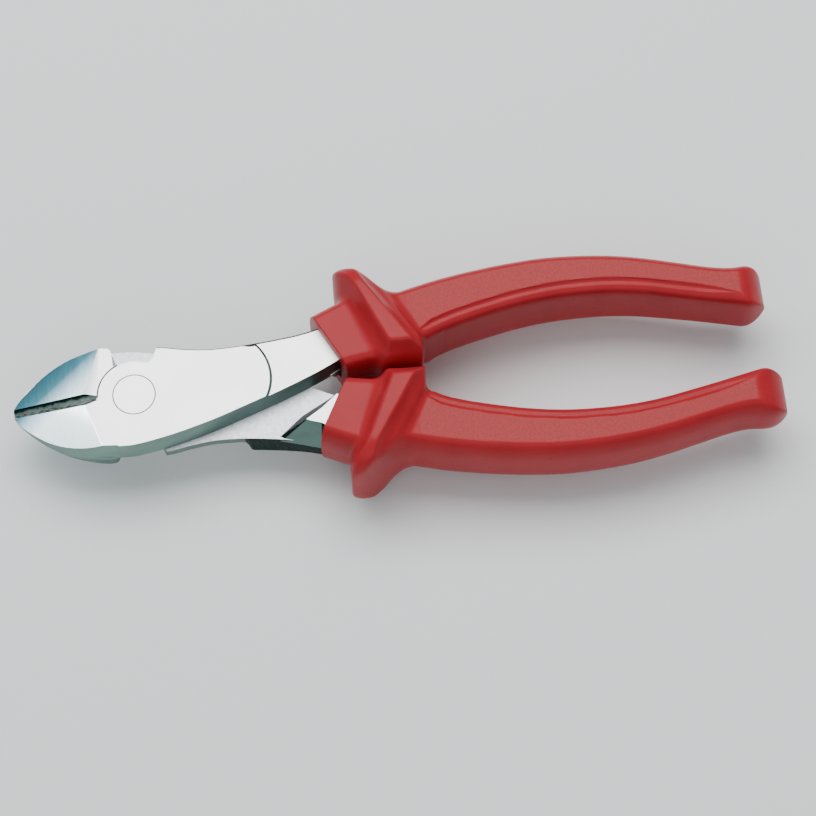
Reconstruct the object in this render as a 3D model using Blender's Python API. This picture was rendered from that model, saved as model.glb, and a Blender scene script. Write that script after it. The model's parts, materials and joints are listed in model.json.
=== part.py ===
"""Diagonal cutting pliers with insulated grips and guards.

The tool lies flat. +X runs from the jaws to the ends of the grips, +Y is the side of the upper grip,
and +Z is up. The front half has its lap above the joint's middle plane, and the rear half has its lap
below it. Everything is modelled about the point where the rivet's axis meets the middle plane, and then
placed so that the tool's bounding box stands centred on the origin.
"""

import math

import bmesh
import bpy
import numpy as np

MM = 0.001

# Driving dimensions
HEAD_LENGTH = 29.2 * MM         # rivet axis to jaw tip
HANDLE_LENGTH = 154.0 * MM      # rivet axis to the ends of the grips
FACE = 5.5 * MM                 # middle plane to the ground faces of the head
SHANK_FACE = 5.2 * MM           # middle plane to the forged faces of the shank
GUARD_HEIGHT = 14.3 * MM        # middle plane to the flats of the guards
GAP = 0.3 * MM                  # between pieces that touch

# Joint
LAP_RADIUS = 8.5 * MM
SEAT_RADIUS = LAP_RADIUS + GAP
RIVET_RADIUS = 4.1 * MM
RIVET_HEAD_RADIUS = 4.9 * MM
RIVET_SINK = 1.1 * MM            # depth of the countersinks
RIVET_GAP = 0.15 * MM
SHOULDER_RADIUS = 13.8 * MM     # where the notch and jaw shoulders meet the outlines
NOTCH_ANGLE = 65.5              # degrees from +X to the notch shoulder
JAW_SHOULDER_ANGLE = 112.0      # degrees from +X to the jaw shoulder
BOSS_CENTRE = (20.3 * MM, 2.0 * MM)
BOSS_RADIUS = 12.0 * MM

# Jaws
BEND_X = -12.2 * MM             # where the front facets start, on the cutting line
BEND_SLANT = 0.34               # how far the bend line moves in X for each unit of Y
FACET_SLOPE = 0.30
BACK_BEND_X = -9.0 * MM
BACK_SLOPE = 0.20
EDGE_X = -12.0 * MM             # a point on the cutting edge
EDGE_Z = 4.05 * MM
EDGE_SLOPE = 0.28
BEVEL_SLOPE = 1.15              # rise of the ground bevels away from the cutting edge
RELIEF_SLOPE = 2.6              # fall of the relief faces behind the cutting edge
RELIEF_DROP = 0.5 * MM          # height of the land between bevel and relief

JAW_DRAFT = math.tan(math.radians(14.0))
BELLY_DRAFT = math.tan(math.radians(8.0))
BACK_DRAFT = math.tan(math.radians(13.0))
WALL_X = (25.4 * MM, 27.4 * MM, 33.7 * MM, 42.1 * MM)
WALL_DRAFT = (0.23, -0.045, -0.136, -0.19)  # of the rear half's back at each of those places
PARTING_STEP = 0.05 * MM        # the far side of a forging stands this far inside the near side
JOIN = 0.8 * MM                 # how far shapes reach into each other where they are joined
POCKET_START = 52.0             # where the pocket closes in on the tang, in millimetres
POCKET_END = 1.5 * MM           # room past the end of the tang
TANG_SQUARENESS = 9.0           # 2 is an oval, and larger numbers come closer to a rectangle
WEDGE_REACH = 4.0 * MM          # how far the ground faces of a jaw reach past its tip
CUT_REACH = 80.0 * MM           # how far cutters reach past what they cut
SHARP_ANGLE = 30
CIRCLE_STEPS = 64
CURVE_STEPS = 3
TANG_STEPS = 2
DISC_STEPS = 20
RING_STEPS = 32

PIVOT_X = (HEAD_LENGTH - HANDLE_LENGTH) / 2
PIVOT_Z = GUARD_HEIGHT

# Outlines of one half at the middle plane, in millimetres about the rivet axis
JAW_OUTLINE = (
    (-29.2, -0.9), (-27.6, -3.5), (-24.6, -6.6), (-20.8, -9.6),
    (-16.4, -11.9), (-11.6, -13.3), (-6.6, -13.8),
)
BELLY_OUTLINE = (
    (-4.6, -13.6), (-1.0, -13.6), (3.0, -13.0), (8.5, -11.8), (14.0, -10.3), (20.0, -8.4), (27.0, -5.8),
    (34.0, -3.2), (41.0, -0.3), (46.0, 2.0), (51.8, 5.0),
)
BACK_OUTLINE = (
    (46.5, 15.2), (43.0, 14.0), (39.0, 13.2), (34.0, 12.6), (28.5, 12.0), (23.0, 11.7), (17.5, 11.8),
    (12.0, 12.4), (6.9, 13.3),
)
# The shank's thickening on the far side of the middle plane: where it starts, and its forged face
WALL_FOOT = ((51.6, 5.2), (47.2, 2.7), (40.0, 7.9), (34.4, 11.5), (39.0, 12.3), (43.0, 13.5), (46.4, 15.0))
WALL_FACE = ((51.2, 6.0), (47.8, 4.4), (44.0, 7.6), (40.2, 10.2), (41.0, 10.6), (43.6, 11.4), (46.6, 13.4))

# Tang inside the grip: x, y, direction in degrees, half width, half thickness
TANG = (
    (48.1, 9.4, 27.5, 5.3, 5.0),
    (52.5, 11.2, 25.0, 5.0, 4.9),
    (60.0, 13.2, 20.0, 4.5, 4.8),
    (70.0, 15.0, 14.0, 3.8, 4.6),
    (88.0, 18.5, 10.0, 3.0, 4.2),
    (106.0, 20.3, 0.0, 2.6, 3.8),
    (124.0, 18.9, -11.0, 2.3, 3.4),
    (138.0, 15.7, -13.0, 2.0, 3.0),
)
# The mouth of the pocket in the grip, which holds the end of the shank
POCKET_MOUTH = (
    (47.1, 9.0, 27.5, 6.2, 5.9),
    (50.0, 10.5, 27.5, 6.2, 5.9),
    (51.0, 10.9, 27.0, 5.7, 5.6),
)

# Grip: x, y, direction in degrees, reach outward, reach inward, half thickness, squareness out and in
GRIP = (
    (47.2, 8.8, 27.5, 7.7, 7.8, 8.7, 6.0, 7.0),
    (50.6, 10.0, 27.5, 8.0, 8.4, 8.8, 6.0, 7.0),
    (53.4, 10.9, 27.5, 8.9, 9.2, 8.9, 5.0, 6.0),
    (54.4, 11.3, 27.5, 11.2, 10.2, 9.8, 4.0, 6.0),
    (55.6, 11.8, 27.5, 13.8, 12.0, 12.0, 3.2, 6.0),
    (57.0, 12.4, 27.5, 15.2, 13.4, 14.8, 2.9, 6.0),
    (58.4, 13.0, 27.5, 15.4, 14.2, 15.0, 2.9, 6.0),
    (60.4, 13.5, 27.5, 14.9, 14.7, 15.0, 2.9, 6.0),
    (61.6, 13.6, 27.5, 13.9, 15.2, 14.6, 3.0, 6.0),
    (62.6, 13.8, 27.5, 12.6, 15.3, 12.0, 3.2, 6.0),
    (63.8, 13.9, 27.5, 10.0, 14.4, 11.1, 3.2, 5.0),
    (65.2, 13.9, 27.5, 8.3, 11.0, 10.2, 3.2, 4.5),
    (67.2, 14.1, 27.5, 7.3, 8.6, 9.5, 3.4, 4.0),
    (70.5, 14.8, 24.0, 6.8, 7.4, 9.1, 3.6, 4.0),
    (76.0, 16.1, 15.0, 6.6, 6.7, 9.0, 3.6, 4.0),
    (84.0, 17.8, 11.0, 6.3, 6.3, 9.0, 3.6, 4.0),
    (92.0, 19.2, 8.0, 6.0, 6.0, 9.0, 3.6, 4.0),
    (100.0, 20.1, 4.0, 5.8, 5.8, 9.0, 3.6, 4.0),
    (108.0, 20.3, -1.0, 5.5, 5.6, 9.0, 3.6, 4.0),
    (116.0, 19.9, -6.0, 5.3, 5.4, 8.9, 3.6, 4.0),
    (124.0, 18.8, -10.5, 5.2, 5.2, 8.7, 3.6, 4.0),
    (132.0, 17.1, -12.5, 5.0, 5.1, 8.4, 3.6, 4.0),
    (139.0, 15.5, -11.5, 4.9, 5.0, 8.2, 3.6, 4.0),
    (144.5, 14.5, -7.0, 5.1, 5.2, 8.1, 3.6, 4.0),
    (148.5, 14.1, -3.0, 5.9, 5.8, 7.9, 3.4, 3.6),
    (151.3, 14.0, 0.0, 6.0, 6.0, 7.0, 3.0, 3.2),
    (153.0, 13.9, 0.0, 5.2, 5.4, 5.4, 2.8, 2.8),
    (153.8, 13.9, 0.0, 4.0, 4.2, 3.8, 2.6, 2.6),
    (154.0, 13.9, 0.0, 2.9, 3.1, 2.7, 2.6, 2.6),
)
GUARD_FLAT_Y = 0.45 * MM        # the guards stop this far from the middle, so that they don't meet


def clear_scene():
    for obj in list(bpy.data.objects):
        bpy.data.objects.remove(obj, do_unlink=True)


def material(name, colour, roughness, metallic):
    """A plain Principled BSDF finish."""
    finish = bpy.data.materials.new(name)
    finish.use_nodes = True
    shader = finish.node_tree.nodes["Principled BSDF"]
    shader.inputs["Base Color"].default_value = (*colour, 1.0)
    shader.inputs["Roughness"].default_value = roughness
    shader.inputs["Metallic"].default_value = metallic
    finish.diffuse_color = (*colour, 1.0)
    return finish


def mesh_object(name, bm):
    """A new object from bm, with its normals pointing out."""
    bmesh.ops.remove_doubles(bm, verts=bm.verts, dist=0.001 * MM)
    bmesh.ops.recalc_face_normals(bm, faces=bm.faces)
    bmesh.ops.triangulate(bm, faces=bm.faces)
    mesh = bpy.data.meshes.new(name)
    bm.to_mesh(mesh)
    bm.free()
    obj = bpy.data.objects.new(name, mesh)
    bpy.context.scene.collection.objects.link(obj)
    return obj


def catmull(before, start, end, after, t):
    """The point a part t of the way from start to end on a smooth curve through all four."""
    return tuple(
        b + 0.5 * ((c - a) * t + (2 * a - 5 * b + 4 * c - d) * t ** 2 + (3 * b - a - 3 * c + d) * t ** 3)
        for a, b, c, d in zip(before, start, end, after)
    )


def smooth(points, steps=CURVE_STEPS):
    """A smooth curve through rows of numbers, with the given steps between neighbours."""
    rows = []
    for i in range(len(points) - 1):
        before = points[max(i - 1, 0)]
        after = points[min(i + 2, len(points) - 1)]
        rows += [catmull(before, points[i], points[i + 1], after, k / steps) for k in range(steps)]
    return rows + [tuple(points[-1])]


def in_metres(points):
    return [(x * MM, y * MM) for x, y in points]


def arc(centre, radius, start, end, steps):
    """Points on an arc, with its angles in degrees."""
    angles = [math.radians(start + (end - start) * k / steps) for k in range(steps + 1)]
    return [(centre[0] + radius * math.cos(a), centre[1] + radius * math.sin(a)) for a in angles]


def inset(outline, distances):
    """A closed outline with each point moved inward by its own distance."""
    area = sum(a[0] * b[1] - b[0] * a[1] for a, b in zip(outline, outline[1:] + outline[:1]))
    moved = []
    for i, (here, distance) in enumerate(zip(outline, distances)):
        before, after = outline[i - 1], outline[(i + 1) % len(outline)]
        first = (here[0] - before[0], here[1] - before[1])
        second = (after[0] - here[0], after[1] - here[1])
        nx = -first[1] / math.hypot(*first) - second[1] / math.hypot(*second)
        ny = first[0] / math.hypot(*first) + second[0] / math.hypot(*second)
        reach = 2 * math.copysign(distance, area) / max(nx * nx + ny * ny, 1.0)
        moved.append((here[0] + reach * nx, here[1] + reach * ny))
    return moved


def prism(name, low, low_z, high, high_z):
    """A closed solid between two outlines that have the same number of points."""
    bm = bmesh.new()
    bottom = [bm.verts.new((x, y, low_z)) for x, y in low]
    top = [bm.verts.new((x, y, high_z)) for x, y in high]
    bm.faces.new(bottom)
    bm.faces.new(top)
    for i in range(len(bottom)):
        j = (i + 1) % len(bottom)
        bm.faces.new((bottom[i], bottom[j], top[j], top[i]))
    return mesh_object(name, bm)


def loft(name, rings):
    """A closed solid through rings of points, capped at both ends."""
    bm = bmesh.new()
    rows = [[bm.verts.new(point) for point in ring] for ring in rings]
    for row, following in zip(rows, rows[1:]):
        for i in range(len(row)):
            j = (i + 1) % len(row)
            bm.faces.new((row[i], row[j], following[j], following[i]))
    bm.faces.new(rows[0])
    bm.faces.new(rows[-1])
    return mesh_object(name, bm)


def combine(obj, other, operation):
    """Applies an exact Boolean to obj, and removes the other object."""
    modifier = obj.modifiers.new(operation, "BOOLEAN")
    modifier.operation = operation
    modifier.solver = "EXACT"
    modifier.object = other
    with bpy.context.temp_override(object=obj, active_object=obj):
        bpy.ops.object.modifier_apply(modifier=modifier.name)
    bpy.data.objects.remove(other, do_unlink=True)


def cut_above(obj, point, normal):
    """Removes what lies on the normal's side of a plane."""
    bm = bmesh.new()
    bm.from_mesh(obj.data)
    geometry = bm.verts[:] + bm.edges[:] + bm.faces[:]
    result = bmesh.ops.bisect_plane(
        bm, geom=geometry, dist=0.0001 * MM, plane_co=point, plane_no=normal, clear_outer=True
    )
    edges = [item for item in result["geom_cut"] if isinstance(item, bmesh.types.BMEdge)]
    bmesh.ops.contextual_create(bm, geom=edges)
    bmesh.ops.recalc_face_normals(bm, faces=bm.faces)
    bm.to_mesh(obj.data)
    bm.free()


def polar(radius, degrees):
    angle = math.radians(degrees)
    return (radius * math.cos(angle), radius * math.sin(angle))


def wall_draft(x):
    """The rear half's back leans out along the shank."""
    return float(np.interp(x, WALL_X, WALL_DRAFT))


def plain_draft(x):
    return BACK_DRAFT


def near_layer(back_draft):
    """The half above the middle plane: jaw, belly, shank, back, notch and lap disc."""
    tip = [(-HEAD_LENGTH, -GAP / 2)]
    jaw = smooth(in_metres(JAW_OUTLINE))
    belly = smooth(in_metres(BELLY_OUTLINE))
    back = smooth(in_metres(BACK_OUTLINE))
    root = 180 + math.degrees(math.asin(GAP / 2 / LAP_RADIUS))
    disc = arc((0.0, 0.0), LAP_RADIUS, NOTCH_ANGLE, root, DISC_STEPS)
    notch = [polar(SHOULDER_RADIUS, NOTCH_ANGLE)] + disc
    drafts = [0.0] + [JAW_DRAFT] * len(jaw) + [BELLY_DRAFT] * len(belly)
    drafts += [back_draft(x) for x, y in back] + [0.0] * len(notch)
    outline = tip + jaw + belly + back + notch
    face = inset(outline, [FACE * draft for draft in drafts])
    return outline, face


def far_jaw():
    """The jaw beyond the middle plane, up to the other lap's seat, with a root in the near layer."""
    tip = [(-HEAD_LENGTH + PARTING_STEP, -GAP / 2)]
    jaw = smooth(in_metres(JAW_OUTLINE))
    jaw.append(polar(SHOULDER_RADIUS, -JAW_SHOULDER_ANGLE))
    root = -180 + math.degrees(math.asin(GAP / 2 / SEAT_RADIUS))
    seat = arc((0.0, 0.0), SEAT_RADIUS, -JAW_SHOULDER_ANGLE, root, DISC_STEPS)
    outline = tip + jaw + seat
    outer = [1.0] * len(tip + jaw) + [0.0] * len(seat)
    face = inset(outline, [FACE * JAW_DRAFT * part for part in outer])
    inside = inset(outline, [JOIN * JAW_DRAFT * part + PARTING_STEP for part in outer])
    tip_inside = (-HEAD_LENGTH + 2 * PARTING_STEP, -GAP / 2 - PARTING_STEP)
    return prism("far_jaw", [outline[0]] + face[1:], -FACE, [tip_inside] + inside[1:], JOIN)


def shank_block():
    """The shank's thickening on the far side of the middle plane."""
    foot, face = in_metres(WALL_FOOT), in_metres(WALL_FACE)
    return prism("shank_block", face, -SHANK_FACE, foot, JOIN)


def section(x, y, direction, outward, inward, half_height, square_out, square_in):
    """A ring of points round a handle: a squared oval in the plane across the direction."""
    angle = math.radians(direction)
    across = (-math.sin(angle), math.cos(angle))
    ring = []
    for k in range(RING_STEPS):
        turn = 2 * math.pi * (k + 0.5) / RING_STEPS
        c, s = math.cos(turn), math.sin(turn)
        reach, square = (outward, square_out) if c > 0 else (inward, square_in)
        radius = (abs(c / reach) ** square + abs(s / half_height) ** square) ** (-1 / square)
        ring.append((
            (x + across[0] * radius * c) * MM,
            (y + across[1] * radius * c) * MM,
            radius * s * MM,
        ))
    return ring


def square_section(x, y, direction, half_width, half_height):
    return section(x, y, direction, half_width, half_width, half_height, TANG_SQUARENESS, TANG_SQUARENESS)


def tang():
    return loft("tang", [square_section(*row) for row in smooth(TANG, TANG_STEPS)])


def boss_cutter():
    """What is milled off the shank's face round the end of the joint's boss."""
    boss = arc(BOSS_CENTRE, BOSS_RADIUS, 75, -75, DISC_STEPS)
    low, high = (BOSS_CENTRE[0], -CUT_REACH), (BOSS_CENTRE[0], CUT_REACH)
    outline = boss + [low, (CUT_REACH, -CUT_REACH), (CUT_REACH, CUT_REACH), high]
    return prism("boss_cutter", outline, SHANK_FACE, outline, 2 * FACE)


def turned(name, profile):
    """A solid turned about the rivet's axis, from (height, radius) pairs."""
    rings = []
    for height, radius in profile:
        ring = arc((0.0, 0.0), radius, 0, 360, CIRCLE_STEPS)[:-1]
        rings.append([(x, y, height) for x, y in ring])
    return loft(name, rings)


def rivet_profile(clearance=0.0, reach=0.0):
    sink = FACE - RIVET_SINK + clearance / 2
    return (
        (-FACE - reach, RIVET_HEAD_RADIUS + clearance + reach),
        (-sink, RIVET_RADIUS + clearance),
        (sink, RIVET_RADIUS + clearance),
        (FACE + reach, RIVET_HEAD_RADIUS + clearance + reach),
    )


def wedge(name, drop, slope):
    """What is ground off beside the cutting edge, on the lower jaw's side of it.

    The ground face starts this drop below the edge. A rising slope takes what is above the face, and a
    falling one takes what is below it.
    """
    rings = []
    for x in (-HEAD_LENGTH - WEDGE_REACH, -SEAT_RADIUS):
        start = EDGE_Z + EDGE_SLOPE * (x - EDGE_X) - drop
        end = start + math.copysign(CUT_REACH, slope)
        near, far = WEDGE_REACH / 4, -2 * WEDGE_REACH
        rings.append([
            (x, near, start - slope * (near + GAP / 2)),
            (x, far, start - slope * (far + GAP / 2)),
            (x, far, end),
            (x, near, end),
        ])
    return loft(name, rings)


def grind_jaw(obj):
    """Grinds the lower jaw: facets that thin it towards its tip, then the bevel and relief of the edge."""
    front = (-FACET_SLOPE, -FACET_SLOPE * BEND_SLANT, 1.0)
    cut_above(obj, (BEND_X, 0.0, FACE), front)
    cut_above(obj, (BACK_BEND_X, 0.0, -FACE), (-BACK_SLOPE, 0.0, -1.0))
    combine(obj, wedge("bevel", 0.0, BEVEL_SLOPE), "DIFFERENCE")
    combine(obj, wedge("relief", RELIEF_DROP, -RELIEF_SLOPE), "DIFFERENCE")


def mirror_y(obj):
    """Mirrors a mesh from the lower side to the upper side."""
    mesh = obj.data
    for vertex in mesh.vertices:
        vertex.co.y = -vertex.co.y
    mesh.flip_normals()


def flip(obj):
    """Turns a mesh half a turn about X, which swaps near for far and upper for lower."""
    for vertex in obj.data.vertices:
        vertex.co.y = -vertex.co.y
        vertex.co.z = -vertex.co.z


def forging(name, back_draft):
    """One half as forged and milled, before its jaw is ground."""
    outline, face = near_layer(back_draft)
    half = prism(name, outline, GAP / 2, face, FACE)
    combine(half, tang(), "UNION")
    combine(half, boss_cutter(), "DIFFERENCE")
    combine(half, shank_block(), "UNION")
    combine(half, far_jaw(), "UNION")
    combine(half, turned("rivet_hole", rivet_profile(RIVET_GAP, FACE)), "DIFFERENCE")
    return half


def front_half():
    half = forging("front_half", plain_draft)
    grind_jaw(half)
    return half


def rear_half():
    """The same shape turned over. Its jaw is ground to match the front half's."""
    half = forging("rear_half", wall_draft)
    flip(half)
    mirror_y(half)
    grind_jaw(half)
    mirror_y(half)
    return half


def joint_rivet():
    return turned("joint_rivet", rivet_profile())


def grip_rings():
    """Rings from the bottom of the tang's pocket, out over the mouth, to the end of the grip."""
    clearance = GAP / MM
    pocket = [row[:3] + (row[3] + clearance, row[4] + clearance) for row in smooth(TANG, TANG_STEPS)]
    pocket = [row for row in pocket if row[0] > POCKET_START]
    x, y, direction, width, height = pocket[-1]
    end_x, end_y = polar(POCKET_END / MM, direction)
    pocket.append((x + end_x, y + end_y, direction, width, height))
    inner = list(POCKET_MOUTH) + pocket
    return [square_section(*row) for row in inner[::-1]] + [section(*row) for row in GRIP]


def grip(name, side):
    """One insulating grip. Its guard is cut flat on top, underneath, and where it faces the other one."""
    rings = []
    for ring in grip_rings():
        rings.append([
            (x, side * max(y, GUARD_FLAT_Y), max(-GUARD_HEIGHT, min(z, GUARD_HEIGHT)))
            for x, y, z in ring
        ])
    return loft(name, rings)


def finish(obj, finish_material, parent):
    obj.data.materials.clear()
    obj.data.materials.append(finish_material)
    obj.data.shade_smooth()
    obj.data.set_sharp_from_angle(angle=math.radians(SHARP_ANGLE))
    obj.parent = parent
    return obj


def main():
    clear_scene()
    steel = material("forged_steel", (0.72, 0.73, 0.72), 0.32, 1.0)
    rubber = material("insulation", (0.45, 0.02, 0.025), 0.38, 0.0)
    frame = bpy.data.objects.new("frame", None)
    hinge = bpy.data.objects.new("hinge", None)
    for empty in (frame, hinge):
        empty.location = (PIVOT_X, 0.0, PIVOT_Z)
        bpy.context.scene.collection.objects.link(empty)
    finish(front_half(), steel, frame)
    finish(joint_rivet(), steel, frame)
    finish(grip("upper_grip", 1), rubber, frame)
    finish(rear_half(), steel, hinge)
    finish(grip("lower_grip", -1), rubber, hinge)


main()
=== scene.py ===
"""Looks of the diagonal cutting pliers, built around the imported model.

The steel halves and the grips are made again here with fine edges, drafts and moulded detail.
Lengths are in millimetres about the point where the rivet's axis meets the joint's middle plane,
until a mesh is placed.
"""

import json
import math

import bmesh
import bpy
import numpy as np
from mathutils import Matrix, Vector

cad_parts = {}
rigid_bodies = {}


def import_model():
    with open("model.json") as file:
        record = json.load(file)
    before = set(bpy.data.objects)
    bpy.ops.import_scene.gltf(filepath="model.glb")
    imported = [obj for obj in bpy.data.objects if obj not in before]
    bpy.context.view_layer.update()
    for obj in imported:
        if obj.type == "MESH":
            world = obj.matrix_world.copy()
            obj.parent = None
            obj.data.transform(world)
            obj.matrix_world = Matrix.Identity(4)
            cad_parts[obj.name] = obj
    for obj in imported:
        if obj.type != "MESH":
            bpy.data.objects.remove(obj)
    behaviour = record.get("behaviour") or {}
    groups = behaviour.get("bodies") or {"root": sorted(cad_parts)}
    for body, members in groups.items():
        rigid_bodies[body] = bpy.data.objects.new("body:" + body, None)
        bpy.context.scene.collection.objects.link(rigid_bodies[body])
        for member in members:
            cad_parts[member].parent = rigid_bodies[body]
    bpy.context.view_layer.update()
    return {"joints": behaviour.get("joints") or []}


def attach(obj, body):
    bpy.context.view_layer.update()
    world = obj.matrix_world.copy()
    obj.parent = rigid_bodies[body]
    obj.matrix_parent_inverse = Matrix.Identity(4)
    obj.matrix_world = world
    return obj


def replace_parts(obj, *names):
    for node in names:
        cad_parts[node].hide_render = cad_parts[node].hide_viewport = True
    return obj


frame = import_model()
PIVOT = Vector(frame["joints"][0]["pos_m"])
REAR_BODY = frame["joints"][0]["child"]
FRONT_BODY = frame["joints"][0]["parent"]
MM = 0.001

# Steel: driving dimensions
HEAD = 29.2                     # rivet axis to jaw tip
FACE = 5.5                      # middle plane to the ground faces
SHANK_FACE = 5.1                # middle plane to the forged faces of the shank
GAP = 0.12                      # between the halves
LAP_RADIUS = 8.5
SEAT_RADIUS = 8.85
NOTCH_ANGLE = 65.5
SHOULDER_ANGLE = 112.0
BOSS_CENTRE = (20.3, 2.0)
BOSS_RADIUS = 12.0
RIVET_RADIUS = 4.9
RIVET_GAP = 0.005
RIVET_SINK = 1.1
RIVET_WAIST = 0.8                # how much slimmer the rivet is between its heads
RIVET_ROUND = 0.02
JAW_DRAFT = math.tan(math.radians(14.0))
BELLY_DRAFT = math.tan(math.radians(8.0))
BACK_DRAFT = math.tan(math.radians(13.0))
JAW_FADE = 5.0
CORNER_X = -8.6
WALL_X = (25.7, 27.0, 33.7, 42.1)
WALL_DRAFT = (0.23, -0.18, -0.17, -0.12)
SWELL_X, SWELL = (24.0, 34.0, 46.0), (0.0, 0.35, 1.2)
FOOT_X, FRONT_FOOT, REAR_FOOT = (33.0, 39.0, 46.0), (0.0, -0.6, -0.8), (0.25, 0.4, 0.45)
TOP_CHAMFER = 0.4
SHANK_CHAMFER, CHAMFER_X = 0.45, 27.5
CHAMFER_SPREAD = 1.9
BACK_Y = 11.5                   # above it, the foot of the shank's wall belongs to the back
BOSS_SLOPE = 0.6
BEND_X = -12.2
BEND_SLANT = 0.34
FACET_SLOPE = 0.30
BACK_BEND_X = -9.0
BACK_SLOPE = 0.20
EDGE_X, EDGE_Z, EDGE_SLOPE = -12.0, 4.05, 0.28
UPPER_BEVEL, LOWER_BEVEL = 1.15, 0.88
RELIEF_SLOPE = 2.6
RELIEF_DROP = 0.5
WEDGE_SIDES = (1.0, -8.0)
JOIN = 0.8
FIT = 0.05
FAR = 80                        # beyond every part of a half
CURVE_STEPS = 8
ARC_STEPS = 40
RING_STEPS = 96
EDGE_ROUND = 0.11               # radius of the steel's edges
EDGE_SEGMENTS = 2
FLAT_DEGREES, EDGE_DEGREES = 0.6, 28
STRAIGHT = 0.35                 # sine of the turn under which two edges move as one
PINHOLE = 0.0008

JAW = (
    (-29.2, -0.9), (-27.6, -3.5), (-24.6, -6.6), (-20.8, -9.6), (-16.4, -11.9), (-11.6, -13.3),
    (-6.6, -13.8),
)
FAR_JAW_CORNER = ((-8.4, -13.9), (-6.3, -13.95), (-5.3, -13.5), (-4.85, -12.5))
BELLY = (
    (-4.6, -13.6), (-1.0, -13.6), (3.0, -13.0), (8.5, -11.8), (14.0, -10.3), (20.0, -8.4), (27.0, -5.8),
    (34.0, -3.2), (41.0, -0.3), (46.0, 2.0), (51.8, 5.0),
)
BACK = (
    (46.5, 14.9), (43.0, 13.8), (39.0, 12.95), (34.0, 12.3), (28.5, 11.75), (23.0, 11.4), (17.5, 11.4),
    (12.0, 12.1), (8.6, 12.8), (6.5, 13.05),
)
NOTCH_FOOT = (5.0, 9.0)
WALL_FOOT = (
    (51.6, 5.2), (46.9, 2.3), (38.9, 6.8), (32.6, 11.9), (33.7, 12.6), (39.0, 13.95), (43.0, 15.1),
    (46.4, 16.4),
)
WALL_FACE = (
    (51.2, 6.0), (47.8, 4.4), (44.0, 7.6), (40.1, 10.15), (40.25, 10.25), (41.0, 10.6), (43.6, 11.4),
    (46.6, 13.4),
)
# Tang: x, y, direction in degrees, half width, half height
TANG = (
    (48.1, 9.4, 27.5, 5.3, 5.0), (52.5, 11.2, 25.0, 5.0, 4.9), (60.0, 13.2, 20.0, 4.5, 4.8),
    (70.0, 15.0, 14.0, 3.8, 4.6), (88.0, 18.5, 10.0, 3.0, 4.2), (106.0, 20.3, 0.0, 2.6, 3.8),
    (124.0, 18.9, -11.0, 2.3, 3.4), (138.0, 15.7, -13.0, 2.0, 3.0),
)

# Grip body: x, y, direction in degrees, reach outward, reach inward, half thickness, depth of the groove
GRIP = (
    (46.8, 8.6, 27.5, 8.6, 8.4, 8.8, 0.0),
    (50.4, 9.9, 27.5, 8.9, 9.1, 8.8, 0.0),
    (53.4, 10.9, 27.5, 9.2, 9.6, 8.8, 0.0),
    (57.0, 12.4, 27.5, 9.1, 9.8, 8.8, 0.0),
    (60.4, 13.5, 27.5, 8.4, 9.6, 8.8, 0.0),
    (63.8, 13.9, 27.5, 7.5, 9.0, 8.9, 0.0),
    (67.2, 14.1, 27.5, 7.4, 8.2, 9.0, 0.3),
    (70.5, 14.8, 24.0, 7.4, 7.4, 9.0, 0.5),
    (76.0, 16.1, 15.0, 7.3, 6.8, 9.0, 0.55),
    (84.0, 17.8, 11.0, 7.0, 6.4, 9.0, 0.55),
    (92.0, 19.2, 8.0, 6.6, 6.1, 9.0, 0.55),
    (100.0, 20.1, 4.0, 6.3, 5.9, 9.0, 0.55),
    (108.0, 20.3, -1.0, 5.9, 5.7, 9.0, 0.55),
    (116.0, 19.9, -6.0, 5.6, 5.5, 8.9, 0.55),
    (124.0, 18.8, -10.5, 5.3, 5.3, 8.7, 0.55),
    (132.0, 17.1, -12.5, 5.1, 5.2, 8.4, 0.5),
    (139.0, 15.5, -11.5, 5.0, 5.1, 8.2, 0.45),
    (144.5, 14.5, -7.0, 5.2, 5.3, 8.1, 0.2),
    (148.5, 14.1, -3.0, 5.8, 5.8, 8.0, 0.0),
    (151.3, 14.0, 0.0, 6.0, 6.0, 8.0, 0.0),
    (154.0, 13.9, 0.0, 6.0, 6.0, 8.0, 0.0),
)
UPPER_END, LOWER_END = 153.2, 154.9    # where the rounding of each end would come to a plane
POCKET_X, POCKET_FIT, POCKET_DEPTH = 52.0, 0.3, 1.5
MOUTH = ((46.8, 8.6, 27.5, 5.7, 4.75), (50.0, 10.5, 27.5, 5.7, 5.2), (51.0, 10.9, 27.0, 5.7, 5.3))
MOUTH_LIP = 0.3
START_STEPS = ((0.8, 0.08), (26.0, 0.22))      # distance from the start, and spacing of rows up to it
END_STEPS = ((1.5, 0.07), (9.0, 0.3))
LONG_STEP = 0.6
WIDEST = 24.0
HALVINGS = 22
LEAST_RADIUS = 0.05

# Grip section: corners of its outer and inner sides, and the groove with its ridge
SIDE_RADIUS = 5.5
OUTER_SWELL, OUTER_POWERS = 1.067, (2.6, 2.75)
INNER_SWELL, INNER_SINK, INNER_POWERS = 1.02, 0.062, (4.0, 7.5)
FULL_GROOVE = 0.5
GROOVE_RADIUS, NO_GROOVE = 0.58, 0.5
GROOVE_IN, GROOVE_UP = 2.45, 0.12
RIDGE_IN, RIDGE_SHIFT, RIDGE_LEAN = 2.1, 1.2, (0.97, 0.24)

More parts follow.
